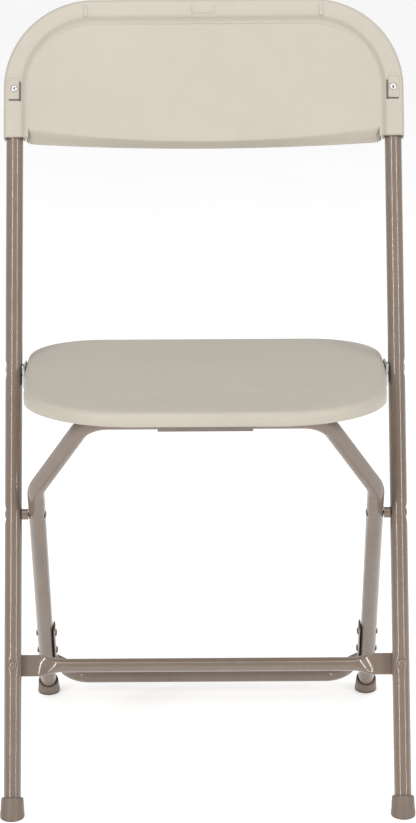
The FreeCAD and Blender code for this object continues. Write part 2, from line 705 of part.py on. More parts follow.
FLANGE_Z = TOP - SKIRT
for label, side in SIDES:
    angle = new_body("side_bracket_" + label)
    section = sketch(angle, "bracket_section_" + label, "XZ_Plane")
    outer = SEAT_HALF + PLATE
    inner = SEAT_HALF - 24.0
    shape = [(side * SEAT_HALF, 6.0), (side * outer, 6.0),
             (side * outer, FLANGE_Z - PLATE), (side * inner, FLANGE_Z - PLATE),
             (side * inner, FLANGE_Z), (side * SEAT_HALF, FLANGE_Z)]
    outline(section, shape, [0] * 6)
    pad(angle, section, 42.0, "bracket_bar_" + label, both=True)
    hole = sketch(angle, "bracket_hole_" + label, "YZ_Plane", side * SEAT_HALF)
    circle(hole, 0, 0, HOLE_R, "Sizes.pivot_pin_dia / 2 + Sizes.pin_clearance")
    pocket(angle, hole, 12, "bracket_hole_cut_" + label, both=True)
    screw_holes = sketch(angle, "bracket_screw_holes_" + label, "XY_Plane", FLANGE_Z)
    for y in SIDE_SCREW_Y:
        circle(screw_holes, side * SIDE_SCREW_X, y, 1.9)
    pocket(angle, screw_holes, 12, "bracket_screw_cut_" + label, both=True)
    doc.recompute()
    finish(angle, "seat_side_bracket_" + label, SEAT)
    screws = []
    for number, y in enumerate(SIDE_SCREW_Y):
        screws.append(turned("side_screw_%s_%d" % (label, number),
                             headed_pin("screw", 1.7, 12.0, 3.5, 1.8),
                             Vector(side * SIDE_SCREW_X, y, FLANGE_Z - PLATE),
                             Vector(0, 0, -1)))
    both = doc.addObject("Part::Compound", "side_screws_" + label)
    both.Links = screws
    finish(both, "side_bracket_screws_" + label, SEAT)

STOP_HALF = 50.0
WALL_Y = BAR_Y - REAR_R - GAP
stop = new_body("stop_bracket_body")
side_view = sketch(stop, "stop_side_view", "YZ_Plane")
outline(side_view,
        [(BAR_Y + 36, REST), (BAR_Y + 36, REST + STOP_PLATE), (WALL_Y - STOP_PLATE, REST + STOP_PLATE),
         (WALL_Y - STOP_PLATE, REST - 19), (WALL_Y, REST - 19), (WALL_Y, REST)],
        [0, 0, 1.5, 0, 0, 0])
pad(stop, side_view, 2 * STOP_HALF, "stop_fold", both=True)
stop_holes = sketch(stop, "stop_holes", "XY_Plane", REST)
for x, y in STOP_SCREWS:
    circle(stop_holes, x, y, 1.9)
pocket(stop, stop_holes, 8, "stop_hole_cut", both=True)
doc.recompute()
finish(stop, "stop_bracket", SEAT)
screws = []
for number, (x, y) in enumerate(STOP_SCREWS):
    screws.append(turned("stop_screw_%d" % number, headed_pin("screw", 1.7, 9.0, 3.5, 1.8),
                         Vector(x, y, REST), Vector(0, 0, -1)))
pair = doc.addObject("Part::Compound", "stop_screws")
pair.Links = screws
finish(pair, "stop_bracket_screws", SEAT)

# ---------------------------------------------------------------- backrest shell

BACK_TOP = size("frame_length") + FRONT_R + 0.3 + 2.2
BACK_OUT = HALF + FRONT_R + 0.3 + 2.2
FACE = FRONT_R + 0.2 + 2.2
REARWARD = -8.0
PANEL_FACE = 6.0
PANEL_BACK = 3.2
CHANNEL = 2 * (FRONT_R + 0.3)
LOW_SIDE = BACK_TOP - size("back_height")
LOW_PANEL = LOW_SIDE - 6.0


def back_plan(sk, inset, low):
    out = BACK_OUT - inset
    top = BACK_TOP - inset
    corner = size("top_bend_radius") + FRONT_R + 2.5 - inset
    outline(sk, [(-out, low), (out, low), (out, top), (-out, top)], [0, 0, corner, corner])


back = new_body("backrest_body")
block = sketch(back, "back_block", "XY_Plane", REARWARD)
back_plan(block, 0.0, LOW_SIDE)
pad(back, block, FACE - REARWARD, "back_block_pad")
doc.recompute()
plate = back.Tip
roll = back.newObject("PartDesign::Fillet", "back_roll")
roll.Base = (plate, level_edges(plate, FACE, LOW_SIDE + 1))
roll.Radius = 4.0
doc.recompute()
recess = sketch(back, "back_recess", "XY_Plane", FACE)
RIM = 2.2 + CHANNEL + 2.4
back_plan(recess, RIM, LOW_SIDE - 5)
pocket(back, recess, FACE - PANEL_FACE, "back_recess_cut")
doc.recompute()
behind = sketch(back, "back_behind", "XY_Plane", REARWARD)
back_plan(behind, RIM, LOW_SIDE - 5)
pocket(back, behind, PANEL_BACK - REARWARD, "back_behind_cut", reverse=True)
doc.recompute()
channel = sketch(back, "back_channel", "XY_Plane", REARWARD)
wide, narrow = BACK_OUT - 2.2, BACK_OUT - 2.2 - CHANNEL
high, lower = BACK_TOP - 2.2, BACK_TOP - 2.2 - CHANNEL
wide_bend = size("top_bend_radius") + FRONT_R + 0.3
narrow_bend = size("top_bend_radius") - FRONT_R - 0.3
below = LOW_SIDE - 5
outline(channel,
        [(-wide, below), (-wide, high), (wide, high), (wide, below),
         (narrow, below), (narrow, lower), (-narrow, lower), (-narrow, below)],
        [0, wide_bend, wide_bend, 0, 0, narrow_bend, narrow_bend, 0])
pocket(back, channel, FRONT_R + 0.2 - REARWARD, "back_channel_cut", reverse=True)
doc.recompute()
apron = sketch(back, "back_apron", "XY_Plane", PANEL_BACK)
edge_x = BACK_OUT - RIM + 0.5
outline(apron, [(-edge_x, LOW_SIDE + 6), (-edge_x, LOW_SIDE - 5), (0, LOW_PANEL - 6),
                (edge_x, LOW_SIDE - 5), (edge_x, LOW_SIDE + 6)], [0, 12, 1500, 12, 0])
pad(back, apron, PANEL_FACE - PANEL_BACK, "back_apron_pad")
doc.recompute()
pads = sketch(back, "screw_pads", "XY_Plane", FRONT_R + 1.0)
for label, side in SIDES:
    ends = sorted((side * (HALF - 5.3), side * (HALF + 7.0)))
    box_outline(pads, ends[0], SCREW_UP - 12, ends[1], SCREW_UP + 12, 1.5)
pad(back, pads, FACE - FRONT_R - 1.0 + 0.8, "screw_pads_pad")
doc.recompute()
screw_ways = sketch(back, "screw_ways", "XY_Plane", FACE + 0.8)
for label, side in SIDES:
    circle(screw_ways, side * HALF, SCREW_UP, 1.75)
pocket(back, screw_ways, 12, "screw_ways_cut")
doc.recompute()
finish(back, "backrest_shell", FRONT)
for label, side in SIDES:
    screw = turned("back_screw_" + label, headed_pin("screw", 1.7, 9.0, 3.5, 2.2),
                   Vector(side * HALF, SCREW_UP, FACE + 0.8), Vector(0, 0, 1))
    place_in(FRONT, screw)
    finish(screw, "backrest_screw_" + label, screw.Placement)

# ---------------------------------------------------------------- check and write

doc.recompute()
faults = []
for item in doc.Objects:
    if "Invalid" in item.State or "Error" in item.State:
        faults.append("%s is %s" % (item.Name, item.State))
for item in nodes:
    shape = item.Shape
    if shape.isNull() or not shape.isValid() or not shape.Solids:
        faults.append("%s has no valid solid" % item.Label)
if faults:
    raise RuntimeError("; ".join(faults))

os.makedirs("parts", exist_ok=True)
for item in nodes:
    item.Shape.exportStep("parts/%s.step" % item.Label)
    print("%-30s %d solid(s) %.1f mm3" % (item.Label, len(item.Shape.Solids), item.Shape.Volume))
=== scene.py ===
import math
import bmesh
import bpy
from mathutils import Matrix, Vector
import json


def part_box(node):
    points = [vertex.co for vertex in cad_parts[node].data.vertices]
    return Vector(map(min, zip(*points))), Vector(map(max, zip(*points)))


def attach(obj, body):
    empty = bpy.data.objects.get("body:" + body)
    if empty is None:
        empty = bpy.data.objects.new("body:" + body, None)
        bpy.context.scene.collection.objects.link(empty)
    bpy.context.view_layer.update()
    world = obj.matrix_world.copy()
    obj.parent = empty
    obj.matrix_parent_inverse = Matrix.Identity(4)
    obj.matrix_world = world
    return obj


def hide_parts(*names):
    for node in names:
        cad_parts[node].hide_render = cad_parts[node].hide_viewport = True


# Looks for the folding chair, standing open. The row frame is in metres, +Z up, and the sitter
# faces -Y. Pieces are drawn in millimetres in three flat working frames, as in the CAD: x across,
# y up along the tubes and z forward of them, or on the seat, y to the rear and z up.

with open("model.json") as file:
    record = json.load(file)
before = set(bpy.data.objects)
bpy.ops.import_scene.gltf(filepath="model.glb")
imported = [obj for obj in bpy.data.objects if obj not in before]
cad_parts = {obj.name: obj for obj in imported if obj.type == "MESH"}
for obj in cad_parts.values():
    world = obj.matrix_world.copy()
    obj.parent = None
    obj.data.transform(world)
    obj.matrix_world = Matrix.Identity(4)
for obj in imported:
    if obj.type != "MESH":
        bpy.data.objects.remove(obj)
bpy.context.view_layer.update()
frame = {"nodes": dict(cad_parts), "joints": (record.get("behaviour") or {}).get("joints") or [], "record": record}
JOINTS = {joint["name"]: joint for joint in frame["joints"]}
MM = 0.001

# sizes that the frame doesn't give, in millimetres
FRONT_R = 9.5        # front tube's radius
REAR_R = 9.5         # rear tube's radius
BAR_R = 7.5          # crossbar's and brace's radius, where they are round
TOP_UP = 899.0       # floor to the middle of the front tube's top bend, along the tube
BEND = 90.0          # radius of that bend, to the tube's centre line
BAR_UP = 163.3       # floor to the crossbar, along the tube
PIN_R = 2.5          # radius of the bolts' and rivets' shanks
CAP_WALL = 2.5       # wall of a foot cap
REAR_FOOT_Y = 0.1946  # rear legs' centre line at the floor, in metres
SEAT_TILT = math.radians(2.0)

SEAT_PIVOT = Vector(JOINTS["seat_fold"]["pos_m"])
CROSS_PIVOT = Vector(JOINTS["rear_frame_fold"]["pos_m"])
LEAN = math.atan2(SEAT_PIVOT.y - CROSS_PIVOT.y, SEAT_PIVOT.z - CROSS_PIVOT.z)
FOOT_Y = SEAT_PIVOT.y - SEAT_PIVOT.z * math.tan(LEAN)
PIVOT_UP = (SEAT_PIVOT.z / math.cos(LEAN)) / MM
CROSS_UP = (CROSS_PIVOT.z / math.cos(LEAN)) / MM
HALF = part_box("front_frame_tube")[1][0] / MM - FRONT_R
REAR_LEAN = math.atan2(REAR_FOOT_Y - CROSS_PIVOT.y, CROSS_PIVOT.z)
REAR_PIVOT_UP = math.hypot(REAR_FOOT_Y - CROSS_PIVOT.y, CROSS_PIVOT.z) / MM
SIDES = (("left", -1.0), ("right", 1.0))


def tilted(origin, angle):
    """A working frame in millimetres, turned about X by an angle."""
    return (Matrix.Translation(origin) @ Matrix.Rotation(angle, 4, "X")
            @ Matrix.Scale(MM, 4))


FRONT = tilted(Vector((0, FOOT_Y, 0)), math.pi / 2 - LEAN)
REAR = tilted(Vector((0, REAR_FOOT_Y, 0)), math.pi / 2 + REAR_LEAN)
SEAT = tilted(SEAT_PIVOT, -SEAT_TILT)

# ---------------------------------------------------------------- camera and light

SENSOR = 36.0            # mm, along the image's long side
IMAGE_HEIGHT = 823       # the image's long side, in pixels
FOCAL_LENGTH = 2368      # in pixels
CAMERA_ASIDE = 0.0028
CAMERA_AHEAD = 2.361     # in front of the front feet
CAMERA_HEIGHT = 1.131
PITCH = math.radians(15.92)
ROLL = math.radians(-0.33)

scene = bpy.context.scene
camera_data = bpy.data.cameras.new("camera")
camera = bpy.data.objects.new("camera", camera_data)
scene.collection.objects.link(camera)
scene.camera = camera
camera_data.sensor_fit = "AUTO"
camera_data.sensor_width = SENSOR
camera_data.lens = SENSOR * FOCAL_LENGTH / IMAGE_HEIGHT
camera_data.clip_end = 150
camera.location = (CAMERA_ASIDE, FOOT_Y - CAMERA_AHEAD, CAMERA_HEIGHT)
camera.rotation_euler = (Matrix.Rotation(math.pi / 2 - PITCH, 3, "X")
                         @ Matrix.Rotation(ROLL, 3, "Z")).to_euler()


def area_light(name, at, aim, width, height, power):
    """A rectangular lamp at a place, facing another, in metres and watts."""
    data = bpy.data.lights.new(name, "AREA")
    data.shape = "RECTANGLE"
    data.size = width
    data.size_y = height
    data.energy = power
    lamp = bpy.data.objects.new(name, data)
    lamp.location = at
    lamp.rotation_euler = (Vector(aim) - Vector(at)).to_track_quat("-Z", "Y").to_euler()
    scene.collection.objects.link(lamp)


area_light("strip_left", (-1.31, -2.01, 1.7), (0, 0, 0.5), 0.13, 2.6, 31)
area_light("strip_right", (1.76, -1.64, 1.7), (0, 0, 0.5), 0.13, 2.6, 24)
area_light("softbox_top", (0, -1.0, 2.8), (0, 0, 0.4), 1.6, 1.2, 18)
world = bpy.data.worlds.new("studio")
scene.world = world
world.use_nodes = True
backdrop = world.node_tree.nodes["Background"]
backdrop.inputs["Color"].default_value = (1, 1, 1, 1)
backdrop.inputs["Strength"].default_value = 0.64
scene.view_settings.view_transform = "Standard"
scene.view_settings.exposure = 0.0

# ---------------------------------------------------------------- materials


class Nodes:
    """A new material and short ways to add nodes to it."""

    def __init__(self, name):
        self.material = bpy.data.materials.new(name)
        self.material.use_nodes = True
        self.tree = self.material.node_tree
        self.shader = self.tree.nodes["Principled BSDF"]
        self.place = self.tree.nodes.new("ShaderNodeTexCoord").outputs["Object"]

    def set(self, socket, value):
        self.shader.inputs[socket].default_value = value

    def link(self, source, target):
        self.tree.links.new(source, target)

    def noise(self, scale, detail=4.0, roughness=0.5, stretch=None):
        node = self.tree.nodes.new("ShaderNodeTexNoise")
        node.inputs["Scale"].default_value = scale
        node.inputs["Detail"].default_value = detail
        node.inputs["Roughness"].default_value = roughness
        place = self.place
        if stretch:
            mapping = self.tree.nodes.new("ShaderNodeMapping")
            mapping.inputs["Scale"].default_value = stretch
            self.link(self.place, mapping.inputs["Vector"])
            place = mapping.outputs["Vector"]
        self.link(place, node.inputs["Vector"])
        return node.outputs["Fac"]

    def ramp(self, source, stops):
        node = self.tree.nodes.new("ShaderNodeValToRGB")
        ramp = node.color_ramp
        while len(ramp.elements) < len(stops):
            ramp.elements.new(0.5)
        for element, (at, value) in zip(ramp.elements, stops):
            element.position = at
            colour = value if isinstance(value, tuple) else (value,) * 3
            element.color = (*colour, 1.0)
        self.link(source, node.inputs["Fac"])
        return node.outputs["Color"]

    def mix(self, factor, first, second):
        node = self.tree.nodes.new("ShaderNodeMix")
        node.data_type = "RGBA"
        self.link(factor, node.inputs["Factor"])
        self.link(first, node.inputs["A"])
        self.link(second, node.inputs["B"])
        return node.outputs["Result"]

    def painted_crevice_shade(self, colour, reach=0.005, least=0.42):
        """Painted shade: darkens a colour where surfaces meet and in hollows, by how closed in each point is
        (ambient occlusion).
        """
        node = self.tree.nodes.new("ShaderNodeAmbientOcclusion")
        node.samples = 6
        node.inputs["Distance"].default_value = reach
        shade = self.ramp(node.outputs["AO"], [(0.15, least), (0.85, 1.0)])
        multiply = self.tree.nodes.new("ShaderNodeMix")
        multiply.data_type = "RGBA"
        multiply.blend_type = "MULTIPLY"
        multiply.inputs["Factor"].default_value = 1.0
        self.link(colour, multiply.inputs["A"])
        self.link(shade, multiply.inputs["B"])
        return multiply.outputs["Result"]

    def bump(self, layers):
        """Stacked bumps: (height source, distance in metres, strength)."""
        normal = None
        for source, distance, strength in layers:
            node = self.tree.nodes.new("ShaderNodeBump")
            node.inputs["Distance"].default_value = distance
            node.inputs["Strength"].default_value = strength
            self.link(source, node.inputs["Height"])
            if normal is not None:
                self.link(normal, node.inputs["Normal"])
            normal = node.outputs["Normal"]
        self.link(normal, self.shader.inputs["Normal"])


def powder_coat(name, base, light, dark):
    """Satin powder coat: orange-peel skin, faint cloudiness, a few rubbed marks, and painted shade where surfaces
    meet.
    """
    m = Nodes(name)
    cloud = m.ramp(m.noise(9.0, 5.0, 0.6), [(0.35, dark), (0.65, base)])
    speck = m.ramp(m.noise(900.0, 2.0), [(0.35, base), (0.7, light)])
    fine = m.ramp(m.noise(60.0, 6.0, 0.65), [(0.45, 0.0), (0.62, 0.35)])
    body = m.mix(fine, cloud, speck)
    rub = m.ramp(m.noise(38.0, 8.0, 0.7, (1.0, 1.0, 0.22)), [(0.69, 0.0), (0.75, 0.55)])
    rubbed = m.ramp(m.noise(500.0), [(0.3, light), (0.7, light)])
    # base colour: tone, specks and rubbed marks, darkened by painted shade where surfaces meet
    m.link(m.painted_crevice_shade(m.mix(rub, body, rubbed)), m.shader.inputs["Base Color"])
    m.link(m.ramp(m.noise(26.0, 6.0, 0.6), [(0.3, 0.26), (0.7, 0.36)]),
           m.shader.inputs["Roughness"])
    m.set("Coat Weight", 0.75)
    m.set("Coat Roughness", 0.09)
    m.set("Coat IOR", 1.6)
    m.set("Specular IOR Level", 0.2)
    m.bump([(m.noise(420.0, 2.0), 0.00012, 0.25), (m.noise(90.0, 3.0), 0.0003, 0.08)])
    return m.material


def moulded_plastic(name, base, light, dark, grain=1500.0):
    """Fine spark-grain polypropylene with soft shade drift, faint scuffs, and painted shade where surfaces meet.
    """
    m = Nodes(name)
    drift = m.ramp(m.noise(5.0, 4.0, 0.55), [(0.35, dark), (0.65, base)])
    speck = m.ramp(m.noise(700.0, 3.0), [(0.4, base), (0.65, light)])
    blend = m.ramp(m.noise(45.0, 6.0, 0.7), [(0.4, 0.05), (0.65, 0.45)])
    body = m.mix(blend, drift, speck)
    scuff = m.ramp(m.noise(30.0, 9.0, 0.75, (1.0, 0.35, 1.0)), [(0.68, 0.0), (0.76, 0.5)])
    scuffed = m.ramp(m.noise(300.0), [(0.3, light), (0.7, light)])
    # base colour: tone, specks and scuffs, darkened by painted shade where surfaces meet
    m.link(m.painted_crevice_shade(m.mix(scuff, body, scuffed)), m.shader.inputs["Base Color"])
    m.link(m.ramp(m.noise(20.0, 6.0, 0.6), [(0.3, 0.44), (0.7, 0.56)]),
           m.shader.inputs["Roughness"])
    m.set("Subsurface Weight", 0.06)
    m.set("Subsurface Radius", (0.004, 0.003, 0.002))
    m.set("Specular IOR Level", 0.42)
    m.bump([(m.noise(grain, 2.0), 0.00012, 0.35), (m.noise(140.0, 3.0), 0.0002, 0.10)])
    return m.material


def plated_steel(name, base, light, rough):
    """Bright plating with fine directional marks."""
    m = Nodes(name)
    m.link(m.ramp(m.noise(80.0, 5.0, 0.6), [(0.35, base), (0.65, light)]),
           m.shader.inputs["Base Color"])
    m.link(m.ramp(m.noise(300.0, 4.0, 0.6, (1.0, 8.0, 1.0)), [(0.3, rough), (0.7, rough + 0.14)]),
           m.shader.inputs["Roughness"])
    m.set("Metallic", 1.0)
    m.bump([(m.noise(1200.0, 2.0, 0.5, (1.0, 8.0, 1.0)), 0.0001, 0.25)])
    return m.material


PAINT = powder_coat("taupe_powder_coat", (0.176, 0.130, 0.099), (0.212, 0.165, 0.130),
                    (0.157, 0.116, 0.088))
PLASTIC = moulded_plastic("beige_polypropylene", (0.422, 0.388, 0.328), (0.46, 0.428, 0.366),
                          (0.40, 0.366, 0.308))
CAP = moulded_plastic("taupe_cap_plastic", (0.165, 0.124, 0.096), (0.20, 0.158, 0.126),
                      (0.145, 0.108, 0.083), 900.0)
ZINC = plated_steel("zinc_plate", (0.42, 0.43, 0.43), (0.52, 0.52, 0.51), 0.30)
BRIGHT = plated_steel("bright_plate", (0.58, 0.58, 0.58), (0.70, 0.70, 0.69), 0.16)
SHADOW = moulded_plastic("slot_shadow", (0.10, 0.088, 0.07), (0.13, 0.115, 0.095),
                         (0.08, 0.07, 0.056))
DARK_STEEL = powder_coat("dark_bracket_coat", (0.20, 0.165, 0.135), (0.27, 0.23, 0.19),
                         (0.17, 0.14, 0.115))

SLOT_LOOK = {"frame_paint": PAINT, "seat_plastic": PLASTIC, "foot_caps": CAP,
             "painted_rivets": PAINT, "zinc_hardware": ZINC, "bright_screws": BRIGHT}
SLOT_OF = {s["node"]: s["material_slot"] for s in frame["record"]["subparts"]}
for node, item in frame["nodes"].items():
    look = SLOT_LOOK[SLOT_OF[node]]
    if node == "stop_bracket":
        look = DARK_STEEL
    item.data.materials.clear()
    item.data.materials.append(look)

# ---------------------------------------------------------------- mesh helpers


def piece(name, vertices, faces, matrix, look, body, slot, replaces=(), smooth=True):
    """A closed mesh given in a working frame, set in the row frame and bound to a body."""
    mesh = bpy.data.meshes.new(name)
    mesh.from_pydata([matrix @ Vector(v) for v in vertices], [], faces)
    mesh.materials.append(look)
    shape = bmesh.new()
    shape.from_mesh(mesh)
    bmesh.ops.recalc_face_normals(shape, faces=shape.faces)
    shape.to_mesh(mesh)
    shape.free()
    if smooth:
        mesh.shade_smooth()
    mesh.update()
    item = bpy.data.objects.new(name, mesh)
    scene.collection.objects.link(item)
    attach(item, body)
    if replaces:
        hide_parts(*replaces)
    return item


def skin(rings):
    """Faces over rings of equal length, with both end rings capped."""
    count = len(rings[0])
    vertices = [p for ring in rings for p in ring]
    faces = []
    for r in range(len(rings) - 1):
        a = r * count
        b = a + count
        for i in range(count):
            j = (i + 1) % count
            faces.append((a + i, a + j, b + j, b + i))
    faces.append(tuple(range(count)))
    faces.append(tuple((len(rings) - 1) * count + i for i in range(count)))
    return vertices, faces


def fillet_path(points, radii, step):
    """Points along straight runs with rounded corners, closer than step apart."""
    line = [Vector(p).to_3d() for p in points]
    out = []

    def run(a, b):
        n = max(1, int((b - a).length / step))
        for k in range(n):
            out.append(a.lerp(b, k / n))

    here = line[0]
    for i in range(1, len(line) - 1):
        before = (line[i - 1] - line[i]).normalized()
        after = (line[i + 1] - line[i]).normalized()
        half = before.angle(after) / 2
        reach = radii[i] / math.tan(half)
        start = line[i] + before * reach
        stop = line[i] + after * reach
        middle = line[i] + (before + after).normalized() * (radii[i] / math.sin(half))
        run(here, start)
        sweep = math.pi - 2 * half
        n = max(6, int(radii[i] * sweep / step))
        first = (start - middle).normalized()
        last = (stop - middle).normalized()
        for k in range(n):
            out.append(middle + first.slerp(last, k / n) * radii[i])
        here = stop
    run(here, line[-1])
    out.append(line[-1])
    return out


def swept(path, section, shaper=None):
    """Rings of a closed section (across, forward) along a flat path; z stays forward."""
    rings = []
    last = len(path) - 1
    for i, p in enumerate(path):
        ahead = path[min(i + 1, last)] - path[max(i - 1, 0)]
        ahead.normalize()
        across = Vector((ahead.y, -ahead.x, 0))
        ring = []
        for u, v in section:
            q = p + across * u + Vector((0, 0, v))
            ring.append(shaper(q, p) if shaper else q)
        rings.append(ring)
    return rings


def round_section(radius, count=40):
    """A circle as (across, forward) pairs."""
    return [(radius * math.cos(2 * math.pi * k / count), radius * math.sin(2 * math.pi * k / count))
            for k in range(count)]


def ease(t):
    """Goes smoothly from 0 to 1 as t does."""
    t = min(1.0, max(0.0, t))
    return t * t * (3 - 2 * t)


LEAST_R = 1e-4       # a ring never closes to a point


def lathe(profile, centre, axis, count=32):
    """Rings turned about an axis; the profile is (radius, distance along it)."""
    turn = Vector((0, 0, 1)).rotation_difference(Vector(axis))
    rings = []
    for r, h in profile:
        ring = []
        for k in range(count):
            angle = 2 * math.pi * k / count
            arm = Vector((max(r, LEAST_R) * math.cos(angle), max(r, LEAST_R) * math.sin(angle), h))
            ring.append(Vector(centre) + turn @ arm)
        rings.append(ring)
    return rings


def dome(r, thick, steps=7):
    """Profile of a low domed head with a rolled rim, from its base outwards."""
    shape = [(r * 0.3, 0.0), (r, 0.0), (r, thick * 0.28)]
    for k in range(1, steps + 1):
        t = math.pi / 2 * k / steps
        shape.append((r * math.cos(t) * 0.98, thick * (0.28 + 0.72 * math.sin(t))))
    return shape


def join(parts):
    """Vertices and faces of several (vertices, faces) pairs in one list."""
    vertices, faces = [], []
    for v, f in parts:
        base = len(vertices)
        vertices += v
        faces += [tuple(i + base for i in face) for face in f]
    return vertices, faces

# ---------------------------------------------------------------- seat

SEAT_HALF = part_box("seat_shell")[1][0] / MM
TOP = 8.5                    # rim above the pivots
BACK = 124.0                 # rear edge behind the pivots
EDGE = BACK - 362.0          # front edge
TAPER = 13.0                 # how far each side draws in at the front
TAPER_FROM = -10.0           # where the sides start to draw in
NARROW = SEAT_HALF - TAPER
FRONT_CORNER = 120
FRONT_REACH = 116            # how much of the front edge each of its corners takes
BACK_CORNER = 80
SIDE_BLEND = 300             # radius where the sides turn in
WALL = 2.8
FLAT = 40                    # inset from which the rings shrink towards the middle
ROLL_OVER = 7.0              # radius of the rim's rounded edge
MIDDLE = Vector((0, (BACK + EDGE) / 2, 0))


def plan_points(step=4.0):
    """The seat's plan outline, anticlockwise, with unit outward normals."""
    corners = [(-SEAT_HALF, BACK), (-SEAT_HALF, TAPER_FROM), (-NARROW, EDGE), (NARROW, EDGE),
               (SEAT_HALF, TAPER_FROM), (SEAT_HALF, BACK)]
    radii = [BACK_CORNER, SIDE_BLEND, FRONT_CORNER, FRONT_CORNER, SIDE_BLEND, BACK_CORNER]
    loop = [(0, BACK)] + corners + [(0, BACK)]
    path = fillet_path(loop, [0] + radii + [0], step)[:-1]
    count = len(path)
    plan = []
    for i, p in enumerate(path):
        ahead = (path[(i + 1) % count] - path[i - 1]).normalized()
        plan.append((p, Vector((ahead.y, -ahead.x, 0))))
    return plan


PLAN = plan_points()


def skirt(y):
    """Depth of the skirt below the seat's top, deepest beside the pivots."""
    front = ease((y - (EDGE + 70)) / 120)
    rear = ease((y - 22) / 30)
    return 15 + 7 * front - 14 * rear


def dish(p):
    """How far the sitting surface drops below the rim."""
    x = p.x / (SEAT_HALF * 0.93)
    y = (p.y - MIDDLE.y - 6) / ((BACK - EDGE) / 2 * 0.93)
    fall = max(0.0, 1 - (x * x) ** 1.6 - (y * y) ** 1.6)
    return 3.6 * ease(fall ** 0.8)


def seat_ring(inset, drop, follow_skirt=0.0, shrink=None):
    """The outline moved in and down, by the skirt's depth too where asked."""
    ring = []
    for p, n in PLAN:
        q = p - n * inset
        if shrink is not None:
            q = MIDDLE + (q - MIDDLE) * shrink
        depth = drop + follow_skirt * skirt(p.y)
        ring.append(Vector((q.x, q.y, TOP - depth)))
    return ring


def dished(ring, share=1.0):
    return [Vector((q.x, q.y, q.z - dish(q) * share)) for q in ring]


def seat_rings():
    """From the middle of the underside out, down and round the skirt, and in over the top."""
    underside = [seat_ring(FLAT, WALL + 0.4, shrink=(10 - k) / 10) for k in range(9, 0, -1)]
    underside.append(seat_ring(FLAT, WALL + 0.4))
    underside.append(seat_ring(14, WALL + 0.3))
    underside.append(seat_ring(WALL + 3.0, WALL + 1.2))
    edge = [seat_ring(WALL + 1.2, WALL + 3.4)]
    for inset, drop in ((WALL, -1.6), (WALL - 0.4, -0.3), (WALL / 2 + 0.2, 0.0), (0.7, -0.4),
                        (0.15, -1.6)):
        edge.append(seat_ring(inset, drop, 1.0))
    for k in range(9):
        t = math.pi / 2 * k / 8
        edge.append(seat_ring(ROLL_OVER * (1 - math.cos(t)), ROLL_OVER * (1 - math.sin(t))))
    top = [seat_ring(inset, 0.0) for inset in (9, 13, 18, 24, 31, FLAT)]
    top += [seat_ring(FLAT, 0.0, shrink=1 - k / 26) for k in range(1, 26)]
    return [dished(ring, 0.9) for ring in underside] + edge + [dished(ring) for ring in top]


piece("seat_skin", *skin(seat_rings()), SEAT, PLASTIC, "seat", "seat_plastic", ("seat_shell",))

RIB = 2.2                    # thickness of a rib
RIB_TOP = TOP - WALL - 1.0   # top of the ribs and bosses
FRONT_RIB_LOW = -2.0
REAR_RIB_LOW = 0.7           # shallower, as the skirt is there
STOP_FACE = -5.2             # the stop bracket's seat
STOP_SCREWS = (32, -139.9)
BRACKET_FACE = TOP - 22
BRACKET_INSET = 17
BRACKET_SCREWS = (-15, 11)


def slab(x0, x1, y0, y1, z0, z1, round_by=0.3):
    """A block with bevelled edges."""
    shape = bmesh.new()
    made = bmesh.ops.create_cube(shape, size=1.0)
    for v in made["verts"]:
        v.co = Vector(((x0 + x1) / 2 + v.co.x * (x1 - x0), (y0 + y1) / 2 + v.co.y * (y1 - y0),
                       (z0 + z1) / 2 + v.co.z * (z1 - z0)))
    bmesh.ops.bevel(shape, geom=shape.edges[:], offset=round_by, segments=2, affect="EDGES",
                    profile=0.5)
    shape.verts.index_update()
    vertices = [v.co.copy() for v in shape.verts]
    faces = [tuple(v.index for v in f.verts) for f in shape.faces]
    shape.free()
    return vertices, faces


def round_in(x, flat_half, radius):
    """How far the rounded corner has drawn back from a straight edge at x."""
    past = max(0.0, abs(x) - flat_half)
    return radius - math.sqrt(max(0.0, radius * radius - past * past))


ribs = []
for x in range(-150, 151, 50):
    y0 = EDGE + 5 + round_in(x, NARROW - FRONT_REACH, FRONT_CORNER)
    y1 = BACK - 4 - round_in(x, SEAT_HALF - BACK_CORNER, BACK_CORNER)
    ribs.append(slab(x - RIB / 2, x + RIB / 2, y0, min(y1, 46), FRONT_RIB_LOW, RIB_TOP))
    ribs.append(slab(x - RIB / 2, x + RIB / 2, 40, y1, REAR_RIB_LOW, RIB_TOP))
for y in (-110, -60, 40, 85):
    drawn_in = max(0.0, TAPER_FROM - y) * TAPER / (TAPER_FROM - EDGE)
    reach = SEAT_HALF - RIB - (drawn_in + round_in(max(0, y), BACK - BACK_CORNER, BACK_CORNER))
    ribs.append(slab(-reach, reach, y - RIB / 2, y + RIB / 2,
                     FRONT_RIB_LOW if y < 0 else REAR_RIB_LOW, RIB_TOP))
for _, side in SIDES:
    ribs.append(skin(lathe([(2.0, STOP_FACE), (5.0, STOP_FACE), (5.2, RIB_TOP)],
                           (side * STOP_SCREWS[0], STOP_SCREWS[1], 0), (0, 0, 1))))
for _, side in SIDES:
    for y in BRACKET_SCREWS:
        ribs.append(skin(lathe([(2.0, BRACKET_FACE), (4.5, BRACKET_FACE), (4.8, RIB_TOP)],
                               (side * (SEAT_HALF - BRACKET_INSET), y, 0), (0, 0, 1))))
piece("seat_ribs", *join(ribs), SEAT, PLASTIC, "seat", "seat_plastic", smooth=False)

# ---------------------------------------------------------------- backrest

